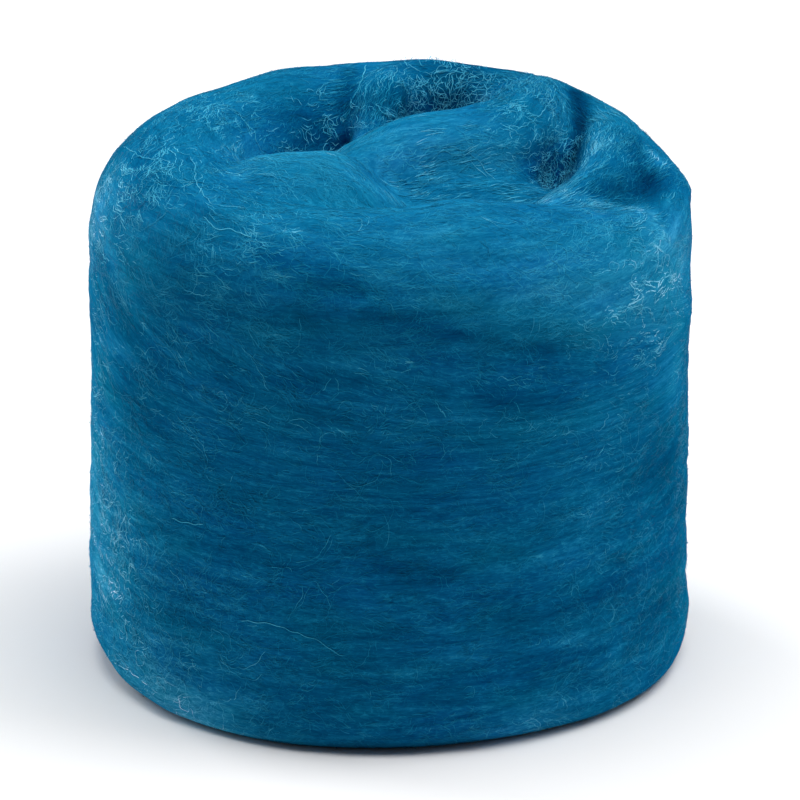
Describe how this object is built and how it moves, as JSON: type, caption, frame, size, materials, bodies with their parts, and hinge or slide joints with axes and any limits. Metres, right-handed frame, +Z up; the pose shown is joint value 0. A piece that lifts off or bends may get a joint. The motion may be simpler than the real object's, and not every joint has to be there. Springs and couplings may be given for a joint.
{
  "type": "ball of wool roving",
  "caption": "Drum-shaped ball of teal wool roving, wound from one soft combed length, with its last turns folded and crossed over the top.",
  "frame": {"origin": "middle of the ball's bounding box at its base, on the surface it stands on", "axes": "+Z up along the winding's axis, -Y towards the side with the broad front fold, +X to that side's right"},
  "size_m": [0.1254, 0.1248, 0.1161],
  "materials": {
    "wool": "matt combed wool fibre, dyed deep teal blue, with a soft lighter fuzz"
  },
  "bodies": {
    "root": {"roving_ball": "wool"}
  },
  "joints": []
}
